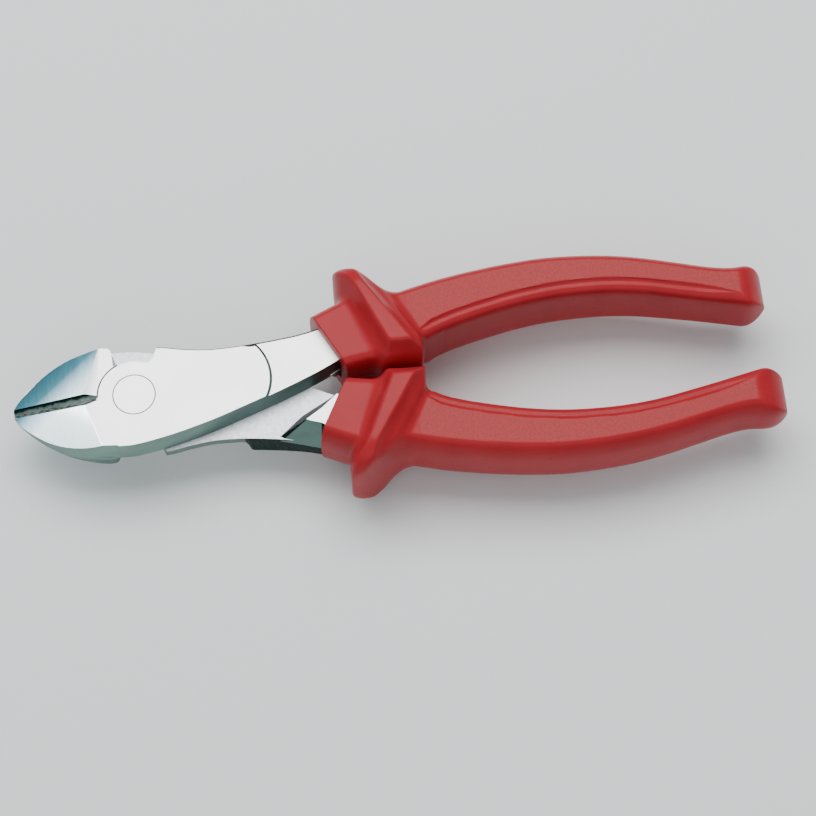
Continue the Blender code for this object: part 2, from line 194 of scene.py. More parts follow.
# Guard, with s along the handle and o outward from it in the turned frame
GUARD_TURN = math.radians(27.5)
GUARD_HEIGHT = 14.3
GUARD_INNER = 0.5
GUARD_SIDE = 26.65
RIM_CENTRE, RIM_HALF = -15.45, 14.9
RIM_OUT, RIM_OUT_POWER = 16.4, 2.9
RIM_IN, RIM_IN_POWER = 30.0, 6.0
INNER_Y, INNER_LEAN = 4.25, (0.84, 0.54)
TIP, TIP_LEAN = (53.0, 26.15), (0.514, 0.857)
FRONT_S, FRONT_TURN, FRONT_O, FRONT_LEAN = 57.3, 0.061, 8.4, (0.906, 0.423)
FRONT_X, FRONT_LIMIT = 49.3, 53.0
CREST_S, CREST_TURN, CREST_O, CREST_LEAN = 59.5, 0.081, 9.7, (0.86, 0.5)
SHELF_W, SHELF_LEAN = 12.9, (0.59, 0.807)
STEP_S, STEP_W, STEP_LEAN = 2.7, 11.3, (0.9, 0.3)
REAR_LEAN, REAR_OFFSET, REAR_X = (0.584, 0.812), 52.8, 69.0

# Grip body: slope of its end, the hollow behind the guard, and the blend of body and guard
END_X, END_LEAN, END_BLEND = 147.6, (0.5, 0.87), 6.0
HOLLOW_Y, HOLLOW_SLOPE, HOLLOW_X, HOLLOW_END = 6.5, 0.53, 71.1, 75.0
BLEND_LEAST, BLEND_MORE, BLEND_X, BLEND_REACH = 0.5, 2.8, 60.5, 8.5

# Finishes of the steel, in the order of its material slots. SIDES and POLISHED carry painted reflection,
# GROUND and SHADED painted shade, LAP partly painted shade
SATIN, SIDES, POLISHED, GROUND, LAP, SHADED, BRUSHED = range(7)

# Where the finishes meet: limits on a face's centre, and on the parts of its normal
FLAT_UP, LAP_UP, FACET_UP, FACET_LEAN = 0.985, 0.9, 0.93, 0.1
SEAM_X, SEAM_Z, LAP_Z = -4.0, 1.5, 0.5
JAW_X, BEVEL_Y = -8.0, 4.5
TOP_X, TOP_Z = 6.0, 4.5
LOWER_JAW_X, LOWER_JAW_Y, LOWER_JAW_Z = (-26.0, -4.6), -4.0, 1.0
SHANK_WALL_X, SHANK_WALL_LEAN = (33.0, 48.5), (-0.585, 0.81)
REAR_BACK_X = 25.2
TEXTURE_X, TEXTURE_Z, TEXTURE_UP = (66.5, 147.5), (7.5, 9.2), 0.995

# Studio and camera, in metres and watts: name, place, size, power, colour
LIGHTS = (
    ("key", (0.05, 0.42, 0.95), (0.9, 0.7), 11.0, (1.0, 1.0, 1.0)),
    ("front_fill", (-0.1, -0.8, 0.7), (1.2, 0.8), 2.5, (1.0, 1.0, 1.0)),
    ("left_fill", (-0.62, 0.38, 0.86), (0.6, 0.6), 3.0, (0.92, 0.97, 1.0)),
)
SKY = (
    (0.0, (0.55, 0.60, 0.60)), (0.35, (0.30, 0.47, 0.50)), (0.75, (0.62, 0.80, 0.84)),
    (0.95, (1.0, 1.0, 1.0)),
)
SKY_STRENGTH = 0.6
FLOOR_REACH, FLOOR_DROP = 3, 0.0005
AZIMUTH, ELEVATION, DISTANCE = math.radians(-5.7), math.radians(67.0), 0.600
AIM = (64.4, -7.6, 0.0)
LENS, SENSOR = 111.0, 36.0


# ---------------------------------------------------------------- shape helpers

def mesh_object(name, bm):
    bmesh.ops.remove_doubles(bm, verts=bm.verts, dist=0.001)
    bmesh.ops.recalc_face_normals(bm, faces=bm.faces)
    bmesh.ops.triangulate(bm, faces=bm.faces)
    mesh = bpy.data.meshes.new(name)
    bm.to_mesh(mesh)
    bm.free()
    obj = bpy.data.objects.new(name, mesh)
    bpy.context.scene.collection.objects.link(obj)
    return obj


def curve_value(p, q, r, s, t):
    """A value t of the way from q to r, on a curve that p and s bend."""
    bend = 2 * p - 5 * q + 4 * r - s
    twist = 3 * q - p - 3 * r + s
    return 0.5 * (2 * q + (r - p) * t + bend * t ** 2 + twist * t ** 3)


def smooth(points, steps=CURVE_STEPS):
    """A smooth curve through rows of numbers."""
    rows = []
    for i in range(len(points) - 1):
        around = (points[max(i - 1, 0)], points[i], points[i + 1], points[min(i + 2, len(points) - 1)])
        for k in range(steps):
            rows.append(tuple(curve_value(*values, k / steps) for values in zip(*around)))
    return rows + [tuple(points[-1])]


def arc(centre, radius, start, end, steps=ARC_STEPS):
    angles = [math.radians(start + (end - start) * k / steps) for k in range(steps + 1)]
    return [(centre[0] + radius * math.cos(a), centre[1] + radius * math.sin(a)) for a in angles]


def polar(radius, degrees):
    return (radius * math.cos(math.radians(degrees)), radius * math.sin(math.radians(degrees)))


def moved_corner(point, line, following):
    """Where a corner goes when the edges on its two sides move inward."""
    (ax, ay, first), (bx, by, second) = line, following
    cross = ax * by - ay * bx
    if abs(cross) < STRAIGHT:
        middle = (first + second) / 2
        return (point[0] + middle * (ax + bx) / 2, point[1] + middle * (ay + by) / 2)
    dx = (first * by - second * ay) / cross
    dy = (second * ax - first * bx) / cross
    return (point[0] + dx, point[1] + dy)


def inset(outline, distances):
    """A closed outline with each edge moved inward by its own distance. Edge i starts at point i."""
    edges = list(zip(outline, outline[1:] + outline[:1]))
    turn = math.copysign(1.0, sum(a[0] * b[1] - b[0] * a[1] for a, b in edges))
    lines = []
    for (here, after), distance in zip(edges, distances):
        length = math.dist(here, after)
        lines.append((turn * (here[1] - after[1]) / length, turn * (after[0] - here[0]) / length, distance))
    return [moved_corner(point, lines[i - 1], lines[i]) for i, point in enumerate(outline)]


def loft(name, rings):
    bm = bmesh.new()
    rows = [[bm.verts.new(point) for point in ring] for ring in rings]
    for row, following in zip(rows, rows[1:]):
        for i in range(len(row)):
            j = (i + 1) % len(row)
            bm.faces.new((row[i], row[j], following[j], following[i]))
    bm.faces.new(rows[0])
    bm.faces.new(rows[-1])
    return mesh_object(name, bm)


def prism(name, low, low_z, high, high_z):
    return loft(name, [[(x, y, low_z) for x, y in low], [(x, y, high_z) for x, y in high]])


def combine(obj, other, operation):
    modifier = obj.modifiers.new(operation, "BOOLEAN")
    modifier.operation = operation
    modifier.solver = "EXACT"
    modifier.object = other
    with bpy.context.temp_override(object=obj, active_object=obj):
        bpy.ops.object.modifier_apply(modifier=modifier.name)
    bpy.data.objects.remove(other, do_unlink=True)


def cut_above(obj, point, normal):
    bm = bmesh.new()
    bm.from_mesh(obj.data)
    geometry = bm.verts[:] + bm.edges[:] + bm.faces[:]
    result = bmesh.ops.bisect_plane(
        bm, geom=geometry, dist=0.0001, plane_co=point, plane_no=normal, clear_outer=True
    )
    edges = [item for item in result["geom_cut"] if isinstance(item, bmesh.types.BMEdge)]
    bmesh.ops.contextual_create(bm, geom=edges)
    bmesh.ops.recalc_face_normals(bm, faces=bm.faces)
    bm.to_mesh(obj.data)
    bm.free()


# ---------------------------------------------------------------- steel halves

def jaw_drafts(jaw, draft):
    """The jaw's draft along its outside, fading out at the narrow tip."""
    return [draft * min(1.0, math.dist(point, jaw[0]) / JAW_FADE) for point in jaw]


def wall_draft(x):
    """The rear half's back leans out along the shank."""
    return float(np.interp(x, WALL_X, WALL_DRAFT))


def back_line(rear):
    """The outline of a half's back. It swells along the rear half's shank."""
    if rear:
        return [(x, y + float(np.interp(x, SWELL_X, SWELL))) for x, y in smooth(BACK)]
    return smooth(BACK)


def back_chamfer(x):
    """How far the chamfer of the front half's back reaches in at the face."""
    return SHANK_CHAMFER * CHAMFER_SPREAD if x > CHAMFER_X else TOP_CHAMFER


def near_layer(rear):
    """Outlines of the half above the middle plane: at that plane, just under the face, and at the face."""
    jaw, belly, back = smooth(JAW), smooth(BELLY), back_line(rear)
    root = 180 + math.degrees(math.asin(GAP / 2 / LAP_RADIUS))
    notch = [NOTCH_FOOT] + arc((0, 0), LAP_RADIUS, NOTCH_ANGLE, root)
    outline = [(-HEAD, -GAP / 2)] + jaw + belly + back + notch
    drafts = [0.0] + jaw_drafts(jaw, JAW_DRAFT) + [BELLY_DRAFT] * (len(belly) - 1) + [0.0]
    drafts += [wall_draft(x) if rear else BACK_DRAFT for x, y in back[:-1]] + [0.0] * (len(notch) + 1)
    chamfer = [0.0] * len(outline)
    if not rear:
        start = 1 + len(jaw) + len(belly)
        chamfer[start:start + len(back) - 1] = [back_chamfer(x) for x, y in back[:-1]]
    low = inset(outline, [(SHANK_FACE - SHANK_CHAMFER) * draft for draft in drafts])
    high = inset(outline, [FACE * draft + extra for draft, extra in zip(drafts, chamfer)])
    return outline, low, high


def lean_corner(outline, moved, rise):
    """The jaw's rear corner leans straight inward, so that its tight curve keeps its shape."""
    points = []
    for (x, y), new in zip(outline, moved):
        points.append((x, y + rise) if x > CORNER_X and y < -SEAT_RADIUS else new)
    return points


def far_jaw():
    """The half's jaw beyond the middle plane, up to the seat of the other half's lap."""
    jaw = smooth(JAW[:-1] + FAR_JAW_CORNER)
    root = -180 + math.degrees(math.asin(GAP / 2 / SEAT_RADIUS))
    seat = arc((0, 0), SEAT_RADIUS, -SHOULDER_ANGLE, root)
    outline = [(-HEAD + FIT, -GAP / 2)] + jaw + seat
    shares = [0.0] + jaw_drafts(jaw, 1.0) + [0.0] * len(seat)
    rise, sunk = FACE * JAW_DRAFT, JOIN * JAW_DRAFT
    face = lean_corner(outline, inset(outline, [rise * share for share in shares]), rise)
    inside = lean_corner(outline, inset(outline, [sunk * share + FIT for share in shares]), sunk + FIT)
    inside_tip = (-HEAD + 2 * FIT, -GAP / 2 - FIT)
    return prism("far_jaw", [outline[0]] + face[1:], -FACE, [inside_tip] + inside[1:], JOIN)


def square_section(x, y, direction, half_width, half_height, steps=RING_STEPS, power=7.0):
    """A ring with a nearly rectangular section, square to its direction in degrees."""
    angle = math.radians(direction)
    ring = []
    for k in range(steps):
        turn = 2 * math.pi * k / steps
        c, s = math.cos(turn), math.sin(turn)
        radius = (abs(c / half_width) ** power + abs(s / half_height) ** power) ** (-1 / power)
        ring.append((x - math.sin(angle) * radius * c, y + math.cos(angle) * radius * c, radius * s))
    return ring


def boss_cutter():
    """What is milled off the shank's face round the end of the joint's boss, with a sloping wall."""
    corners = [(BOSS_CENTRE[0], -FAR), (FAR, -FAR), (FAR, FAR), (BOSS_CENTRE[0], FAR)]
    low = arc(BOSS_CENTRE, BOSS_RADIUS + BOSS_SLOPE, 75, -75) + corners
    high = arc(BOSS_CENTRE, BOSS_RADIUS - BOSS_SLOPE, 75, -75) + corners
    return prism("boss_cutter", low, SHANK_FACE, high, 2 * FACE - SHANK_FACE)


def turned(name, profile):
    rings = []
    for height, radius in profile:
        rings.append([(x, y, height) for x, y in arc((0, 0), radius, 0, 360, RING_STEPS)[:-1]])
    return loft(name, rings)


def rivet_profile(clearance=0.0, reach=0.0):
    """Heights and radii of the rivet, or of its hole with a clearance and a reach past the faces."""
    sink = FACE - RIVET_SINK
    radius = RIVET_RADIUS + clearance
    waist = radius - RIVET_WAIST
    return ((-FACE - reach, radius + reach), (-sink, waist), (sink, waist), (FACE + reach, radius + reach))


def wedge(name, drop, slope):
    """What is ground off beside the cutting edge, under it where slope is negative."""
    near, far = WEDGE_SIDES
    rings = []
    for x in (-HEAD - 4, -SEAT_RADIUS):
        start = EDGE_Z + EDGE_SLOPE * (x - EDGE_X) - drop
        end = start + math.copysign(FAR, slope)
        low, high = start - slope * (near + GAP / 2), start - slope * (far + GAP / 2)
        rings.append([(x, near, low), (x, far, high), (x, far, end), (x, near, end)])
    return loft(name, rings)


def grind_jaw(obj, bevel_slope):
    """Grinds the facet, its back, and the bevel and relief of the cutting edge."""
    cut_above(obj, (BEND_X, 0.0, FACE), (-FACET_SLOPE, -FACET_SLOPE * BEND_SLANT, 1.0))
    cut_above(obj, (BACK_BEND_X, 0.0, -FACE), (-BACK_SLOPE, 0.0, -1.0))
    combine(obj, wedge("bevel", 0.0, bevel_slope), "DIFFERENCE")
    combine(obj, wedge("relief", RELIEF_DROP, -RELIEF_SLOPE), "DIFFERENCE")


def transform(obj, sy, sz):
    """Scales by plus or minus one, to mirror or turn a half."""
    for vertex in obj.data.vertices:
        vertex.co.y *= sy
        vertex.co.z *= sz
    if sy * sz < 0:
        obj.data.flip_normals()


def wall_foot(shift):
    """The foot of the shank's wall, with its points along the back moved."""
    points = []
    for x, y in WALL_FOOT:
        points.append((x, y + float(np.interp(x, FOOT_X, shift))) if y > BACK_Y else (x, y))
    return points


def forging(name, rear):
    """One steel half, before its jaw is ground and its hole is drilled."""
    rings = zip(near_layer(rear), (GAP / 2, SHANK_FACE - SHANK_CHAMFER, FACE))
    half = loft(name, [[(x, y, z) for x, y in ring] for ring, z in rings])
    combine(half, loft("tang", [square_section(*row) for row in smooth(TANG, 4)]), "UNION")
    combine(half, boss_cutter(), "DIFFERENCE")
    foot = wall_foot(REAR_FOOT if rear else FRONT_FOOT)
    combine(half, prism("shank", WALL_FACE, -SHANK_FACE, foot, JOIN), "UNION")
    combine(half, far_jaw(), "UNION")
    return half


def drill(obj):
    combine(obj, turned("rivet_hole", rivet_profile(RIVET_GAP, FACE)), "DIFFERENCE")


def round_edges(obj, width):
    """Merges flat faces, then rounds each sharp edge."""
    bm = bmesh.new()
    bm.from_mesh(obj.data)
    bmesh.ops.remove_doubles(bm, verts=bm.verts, dist=0.002)
    flat = math.radians(FLAT_DEGREES)
    bmesh.ops.dissolve_limit(bm, angle_limit=flat, verts=bm.verts, edges=bm.edges)
    bm.to_mesh(obj.data)
    bm.free()
    modifier = obj.modifiers.new("edges", "BEVEL")
    modifier.width = width
    modifier.segments = EDGE_SEGMENTS
    modifier.limit_method = "ANGLE"
    modifier.angle_limit = math.radians(EDGE_DEGREES)
    modifier.use_clamp_overlap = True
    with bpy.context.temp_override(object=obj, active_object=obj):
        bpy.ops.object.modifier_apply(modifier=modifier.name)


def mend(obj):
    """Closes the pinholes that Booleans and rounding leave, and drops stray points."""
    bm = bmesh.new()
    bm.from_mesh(obj.data)
    bmesh.ops.remove_doubles(bm, verts=bm.verts, dist=PINHOLE)
    bmesh.ops.dissolve_degenerate(bm, dist=PINHOLE, edges=bm.edges)
    bmesh.ops.holes_fill(bm, edges=[edge for edge in bm.edges if edge.is_boundary], sides=0)
    bmesh.ops.delete(bm, geom=[edge for edge in bm.edges if not edge.link_faces], context="EDGES")
    bmesh.ops.delete(bm, geom=[vertex for vertex in bm.verts if not vertex.link_faces], context="VERTS")
    bm.to_mesh(obj.data)
    bm.free()


def weigh_normals(obj):
    """Keeps flat faces flat beside their rounded edges."""
    modifier = obj.modifiers.new("normals", "WEIGHTED_NORMAL")
    modifier.weight = 100
    modifier.keep_sharp = True
    with bpy.context.temp_override(object=obj, active_object=obj):
        bpy.ops.object.modifier_apply(modifier=modifier.name)


def place(obj, body, materials, sharp=32):
    """Moves a mesh from millimetres about the pivot to its place, and lets it ride on its body."""
    obj.data.transform(Matrix.Translation(PIVOT) @ Matrix.Scale(MM, 4))
    for finish in materials:
        obj.data.materials.append(finish)
    obj.data.shade_smooth()
    obj.data.set_sharp_from_angle(angle=math.radians(sharp))
    if sharp < 45:
        weigh_normals(obj)
    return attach(obj, body)


# ---------------------------------------------------------------- grips

def smax(a, b, k):
    """The larger of two distances, with a rounding of size k where they meet."""
    h = np.maximum(k - np.abs(a - b), 0.0) / k
    return np.maximum(a, b) + h * h * k / 4


def smin(a, b, k):
    return -smax(-a, -b, k)


def slanted(u, v, lean):
    """How far a point is past a slanting plane, from two distances and the parts of its normal."""
    return u * lean[0] + v * lean[1]


def superellipse(a, w, half_a, half_w, m, n):
    """Roughly how far a point is outside a superellipse."""
    a, w = np.abs(a) / half_a, np.abs(w) / half_w
    value = a ** m + w ** n - 1
    slope = np.hypot(m / half_a * a ** (m - 1), n / half_w * w ** (n - 1))
    return value / np.maximum(slope, 0.12)


def body_distance(a, w, outward, inward, half, groove):
    """Section of a handle: flats above and below, and beside each flat's inner edge a groove and a ridge."""
    fade = np.clip(groove / FULL_GROOVE, 0.0, 1.0)
    from_outer = np.maximum(a - outward + SIDE_RADIUS, 0.0)
    outer = superellipse(from_outer, w, SIDE_RADIUS, half * OUTER_SWELL, *OUTER_POWERS)
    from_inner = np.minimum(a + inward - SIDE_RADIUS, 0.0)
    inner_half = half * (INNER_SWELL - INNER_SINK * fade)
    inner = superellipse(from_inner, w, SIDE_RADIUS, inner_half, *INNER_POWERS)
    reach = GROOVE_RADIUS * fade - NO_GROOVE * (1 - fade)
    inner = smax(inner, reach - np.hypot(a + inward - GROOVE_IN, w - half + GROOVE_UP), 0.35)
    ridge = -(a + inward - RIDGE_IN - RIDGE_SHIFT * fade) * RIDGE_LEAN[0] - (half - w) * RIDGE_LEAN[1]
    slab = smax(w - half, ridge, 0.2)
    inner = smin(smax(inner, w - half, 0.2), slab, 0.15)
    outer = smax(outer, w - half, 0.2)
    return np.where(a > 0, outer, inner)


def guard_rim(x, y, o, w):
    """The guard's outline: rounded outside, nearly square inside, with a flat inner end."""
    rim = np.where(
        o > RIM_CENTRE,
        superellipse(o - RIM_CENTRE, w, RIM_OUT, RIM_HALF, RIM_OUT_POWER, RIM_OUT_POWER),
        superellipse(o - RIM_CENTRE, w, RIM_IN, RIM_HALF, RIM_IN_POWER, RIM_IN_POWER),
    )
    inner_end = smax(GUARD_INNER - y, slanted(INNER_Y - y, w - GUARD_HEIGHT, INNER_LEAN), 1.5)
    rim = smax(smax(rim, inner_end, 0.5), w - GUARD_HEIGHT, 0.3)
    rim = smax(rim, slanted(x - TIP[0], y - TIP[1], TIP_LEAN), 1.6)
    return smax(rim, y - GUARD_SIDE, 0.6)


def guard_front(x, s, o, w):
    """The guard's face towards the head."""
    edge = FRONT_S + FRONT_TURN * (o + FRONT_O)
    front = slanted(edge - s, w - GUARD_HEIGHT, FRONT_LEAN)
    return smax(smax(front, FRONT_X - x, 2.2), FRONT_LIMIT - s, 1.5)


def guard_back(x, y, s, o, w):
    """The guard's face towards the handle: a steep wall over a shelf."""
    t = s - (CREST_S - CREST_TURN * (o + CREST_O))
    steep = slanted(t, w - GUARD_HEIGHT, CREST_LEAN)
    shelf = smax(slanted(t, w - SHELF_W, SHELF_LEAN), slanted(t - STEP_S, w - STEP_W, STEP_LEAN), 0.5)
    outer_rear = slanted(x, y, REAR_LEAN) - REAR_OFFSET
    behind = smax(smin(steep, shelf, 0.6), outer_rear, 2.0)
    return smax(behind, x - REAR_X, 1.0)


def guard_distance(x, y, w):
    """The guard: a flat crest with a shelf behind it, a rounded outer tip and a flat inner end."""
    turned_x, turned_y = math.cos(GUARD_TURN), math.sin(GUARD_TURN)
    s = turned_x * x + turned_y * y
    o = -turned_y * x + turned_x * y
    rim = smax(guard_rim(x, y, o, w), guard_front(x, s, o, w), 0.5)
    return smax(rim, guard_back(x, y, s, o, w), 0.45)


def grip_distance(row, a, w, end):
    """How far points are outside a grip, at distances a outward and w up from a row of its table."""
    x0, y0, direction, outward, inward, half, groove = row
    x = x0 - np.sin(np.radians(direction)) * a
    y = y0 + np.cos(np.radians(direction)) * a
    body = body_distance(a, w, outward, inward, half, groove)
    body = smax(body, slanted(x - END_X, w - half, END_LEAN), 0.8)
    body = smax(body, x - end, END_BLEND)
    hollow = smin(HOLLOW_Y + HOLLOW_SLOPE * (x - HOLLOW_X) - y, HOLLOW_END - x, 1.0)
    body = smax(body, hollow, 0.8)
    blend = BLEND_LEAST + BLEND_MORE * np.exp(-((x - BLEND_X) / BLEND_REACH) ** 2)
    joined = smin(body, guard_distance(x, y, w), blend)
    return smax(joined, GUARD_INNER - y, 0.4)


def row_spacing(here, total):
    """The distance from one row to the next, closer at the guard and at both ends."""
    for reach, step in END_STEPS:
        if here > total - reach:
            return step
    for reach, step in START_STEPS:
        if here < reach:
            return step
    return LONG_STEP


def grip_stations():
    """Rows of the grip's table at the wanted spacing, and their distances along the grip."""
    table = np.array(smooth(GRIP, 24))
    length = np.concatenate([[0], np.cumsum(np.hypot(*np.diff(table[:, :2], axis=0).T))])
    total = length[-1]
    wanted = [0.0]
    while wanted[-1] < total - 0.02:
        wanted.append(min(wanted[-1] + row_spacing(wanted[-1], total), total))
    rows = [[np.interp(u, length, column) for column in table.T] for u in wanted]
    return np.array(rows), np.array(wanted)


def grip_radii(rows, c, s, end):
    """How far the surface is from each row's centre, found by halving."""
    low = np.zeros((len(rows[0]), c.shape[1]))
    high = np.full(low.shape, WIDEST)
    for _ in range(HALVINGS):
        middle = (low + high) / 2
        inside = grip_distance(rows, middle * c, np.abs(middle * s), end) < 0
        low = np.where(inside, middle, low)
        high = np.where(inside, high, middle)
    return low


def grip_surface(angles, end):
    """Rings of points on the outside of a grip."""
    stations, along = grip_stations()
    rows = [column[:, None] for column in stations.T]
    turn = 2 * np.pi * np.arange(angles) / angles
    c, s = np.cos(turn)[None, :], np.sin(turn)[None, :]
    radius = grip_radii(rows, c, s, end)
    kept = radius.max(axis=1) > LEAST_RADIUS
    radius, along = radius[kept], along[kept]
    x0, y0, direction = (row[kept] for row in rows[:3])
    lip = np.clip(along / MOUTH_LIP, 0, 1)[:, None]
    radius = radius - MOUTH_LIP * (1 - np.sqrt(1 - (1 - lip) ** 2))
    angle = np.radians(direction)
    x = x0 - np.sin(angle) * radius * c
    y = y0 + np.cos(angle) * radius * c
    return np.stack([x, y, radius * s], axis=-1)


def tang_pocket():
    """Sections of the pocket that takes the tang."""
    pocket = []
    for x, y, direction, half_width, half_height in smooth(TANG, 3):
        if x > POCKET_X:
            pocket.append((x, y, direction, half_width + POCKET_FIT, half_height + POCKET_FIT))
    last = pocket[-1]
    dx, dy = polar(POCKET_DEPTH, last[2])
    return pocket + [(last[0] + dx, last[1] + dy) + last[2:]]


def grip(name, side, end, angles=200):
    """One grip: the pocket for the tang, the mouth, and the outer surface."""
    sections = (list(MOUTH) + tang_pocket())[::-1]
    rings = [square_section(*row, steps=angles) for row in sections]
    rings += [[tuple(point) for point in ring] for ring in grip_surface(angles, end)]
    return loft(name, [[(x, side * y, z) for x, y, z in ring] for ring in rings])


# ---------------------------------------------------------------- materials

def new_material(name, colour, roughness, metallic=0.0, specular=0.5):
    finish = bpy.data.materials.new(name)
    finish.use_nodes = True
    shader = finish.node_tree.nodes["Principled BSDF"]
    shader.inputs["Base Color"].default_value = (*colour, 1.0)
    shader.inputs["Roughness"].default_value = roughness
    shader.inputs["Metallic"].default_value = metallic
    shader.inputs["Specular IOR Level"].default_value = specular
    finish.diffuse_color = (*colour, 1.0)
    return finish, finish.node_tree.nodes, finish.node_tree.links, shader


def noise_node(nodes, links, scale, detail=3.0, stretch=None):
    where = nodes.new("ShaderNodeTexCoord")
    noise = nodes.new("ShaderNodeTexNoise")
    noise.inputs["Scale"].default_value = scale
    noise.inputs["Detail"].default_value = detail
    if stretch is None:
        links.new(where.outputs["Object"], noise.inputs["Vector"])
        return noise
    mapping = nodes.new("ShaderNodeMapping")
    mapping.inputs["Scale"].default_value = stretch
    links.new(where.outputs["Object"], mapping.inputs["Vector"])
    links.new(mapping.outputs["Vector"], noise.inputs["Vector"])
    return noise


def ramp_node(nodes, links, source, stops):
    ramp = nodes.new("ShaderNodeValToRGB")
    elements = ramp.color_ramp.elements
    while len(elements) < len(stops):
        elements.new(0.5)
    for element, (position, colour) in zip(elements, stops):
        element.position = position
        element.color = (*colour, 1.0)
    links.new(source, ramp.inputs["Fac"])
    return ramp


def bump_node(nodes, links, shader, source, strength, distance):
    bump = nodes.new("ShaderNodeBump")
    bump.inputs["Strength"].default_value = strength
    bump.inputs["Distance"].default_value = distance
    links.new(source, bump.inputs["Height"])
    links.new(bump.outputs["Normal"], shader.inputs["Normal"])


def drive(nodes, links, shader, socket, source, stops):
    """Lets a pattern choose a colour or a value of the shader between stops."""
    ramp = ramp_node(nodes, links, source, stops)
    links.new(ramp.outputs["Color"], shader.inputs[socket])


def multiply_add(nodes, links, source, factor, added):
    """source x factor + added, where added is a number or a socket."""
    node = nodes.new("ShaderNodeMath")
    node.operation = "MULTIPLY_ADD"
    links.new(source, node.inputs[0])
    node.inputs[1].default_value = factor
    if isinstance(added, float):
        node.inputs[2].default_value = added
    else:
        links.new(added, node.inputs[2])
    return node.outputs["Value"]


def greys(low, high):
    """Stops from one grey to another."""
    return ((0.3, (low, low, low)), (0.7, (high, high, high)))


def satin_steel():
    """Bead-blasted faces."""
    finish, nodes, links, shader = new_material("satin_steel", (0.86, 0.86, 0.84), 0.42, 1.0)
    cloud = noise_node(nodes, links, 90.0).outputs["Fac"]
    drive(nodes, links, shader, "Base Color", cloud, ((0.3, (0.83, 0.83, 0.81)), (0.7, (0.89, 0.89, 0.87))))
    grain = noise_node(nodes, links, 5200.0, 2.0).outputs["Fac"]
    drive(nodes, links, shader, "Roughness", grain, greys(0.38, 0.48))
    bump_node(nodes, links, shader, grain, 0.25, 0.00003)
    return finish


def side_steel():
    """Drafted sides with the long grain of the forging die, coloured darker and a little green as a painted
    reflection of a dark surround.
    """
    finish, nodes, links, shader = new_material("side_steel", (0.25, 0.33, 0.31), 0.4, 1.0)
    cloud = noise_node(nodes, links, 60.0, 4.0, (1.0, 1.0, 2.0)).outputs["Fac"]
    drive(nodes, links, shader, "Base Color", cloud, ((0.3, (0.12, 0.20, 0.175)), (0.7, (0.20, 0.30, 0.265))))
    grain = noise_node(nodes, links, 900.0, 3.0, (0.25, 1.0, 1.0)).outputs["Fac"]
    drive(nodes, links, shader, "Roughness", grain, greys(0.34, 0.46))
    bump_node(nodes, links, shader, grain, 0.2, 0.00005)
    return finish


def polished_steel():
    """Facets polished thinner towards the tip. The colour across the upper facet, dark teal at its outer edge
    and pale towards the bend, is painted reflection.
    """
    finish, nodes, links, shader = new_material("polished_steel", (0.80, 0.86, 0.88), 0.22, 1.0)
    where = nodes.new("ShaderNodeTexCoord")
    split = nodes.new("ShaderNodeSeparateXYZ")
    links.new(where.outputs["Object"], split.inputs["Vector"])
    # In metres: how far a point of the upper facet is inside a line from the tip to the bend
    along = multiply_add(nodes, links, split.outputs["X"], 0.604, 0.604 * (29.0 * MM - PIVOT.x))
    inside = multiply_add(nodes, links, split.outputs["Y"], -0.797, along)
    # Painted reflection: dark teal at the facet's outer edge, turning pale towards the bend
    drive(nodes, links, shader, "Base Color", multiply_add(nodes, links, inside, 80.0, 0.25), (
        (0.05, (0.028, 0.095, 0.125)), (0.40, (0.055, 0.165, 0.205)), (0.66, (0.43, 0.57, 0.64)),
        (0.88, (0.80, 0.86, 0.89)),
    ))
    grain = noise_node(nodes, links, 1500.0, 2.0, (1.0, 0.08, 1.0)).outputs["Fac"]
    drive(nodes, links, shader, "Roughness", grain, greys(0.17, 0.26))
    bump_node(nodes, links, shader, grain, 0.05, 0.00002)
    return finish


def ground_steel():
    """Hardened bevels beside the cutting edges, coarsely ground, coloured with painted shade: nearly black
    along the top and dark grey-green lower down.
    """
    finish, nodes, links, shader = new_material("ground_steel", (0.30, 0.34, 0.32), 0.4, 1.0)
    where = nodes.new("ShaderNodeTexCoord")
    depth = nodes.new("ShaderNodeVectorMath")
    depth.operation = "DOT_PRODUCT"
    links.new(where.outputs["Object"], depth.inputs[0])
    depth.inputs[1].default_value = (FACET_SLOPE, 0.0, -1.0)
    speckle = noise_node(nodes, links, 1500.0, 4.0, (0.6, 0.5, 0.5)).outputs["Fac"]
    mixed = multiply_add(nodes, links, speckle, 0.0011, depth.outputs["Value"])
    # The facet's plane is at zero, and 2 mm under it is at one
    facet = FACET_SLOPE * PIVOT.x - PIVOT.z - (FACE - FACET_SLOPE * BEND_X) * MM
    under = multiply_add(nodes, links, mixed, 500.0, -500.0 * (facet + 0.00055))
    # Painted shade, darkest just under the facet's plane
    drive(nodes, links, shader, "Base Color", under, (
        (0.1, (0.004, 0.012, 0.012)), (0.32, (0.012, 0.03, 0.028)), (0.42, (0.15, 0.21, 0.19)),
        (0.75, (0.42, 0.50, 0.46)),
    ))
    bump_node(nodes, links, shader, speckle, 0.4, 0.00008)
    return finish


def grained_steel(name, colour, roughness, scale, detail, stretch, stops, strength, distance):
    """Steel whose grain sets both its colour and its bumps."""
    finish, nodes, links, shader = new_material(name, colour, roughness, 1.0)
    grain = noise_node(nodes, links, scale, detail, stretch).outputs["Fac"]
    drive(nodes, links, shader, "Base Color", grain, stops)
    bump_node(nodes, links, shader, grain, strength, distance)
    return finish


def brushed_steel():
    """The bevel that catches the light, broken up by grinding marks."""
    stops = ((0.42, (0.20, 0.24, 0.23)), (0.56, (0.80, 0.83, 0.81)))
    stretch = (0.5, 1.0, 1.0)
    return grained_steel("brushed_steel", (0.50, 0.54, 0.53), 0.4, 1300.0, 4.0, stretch, stops, 0.4, 0.00006)


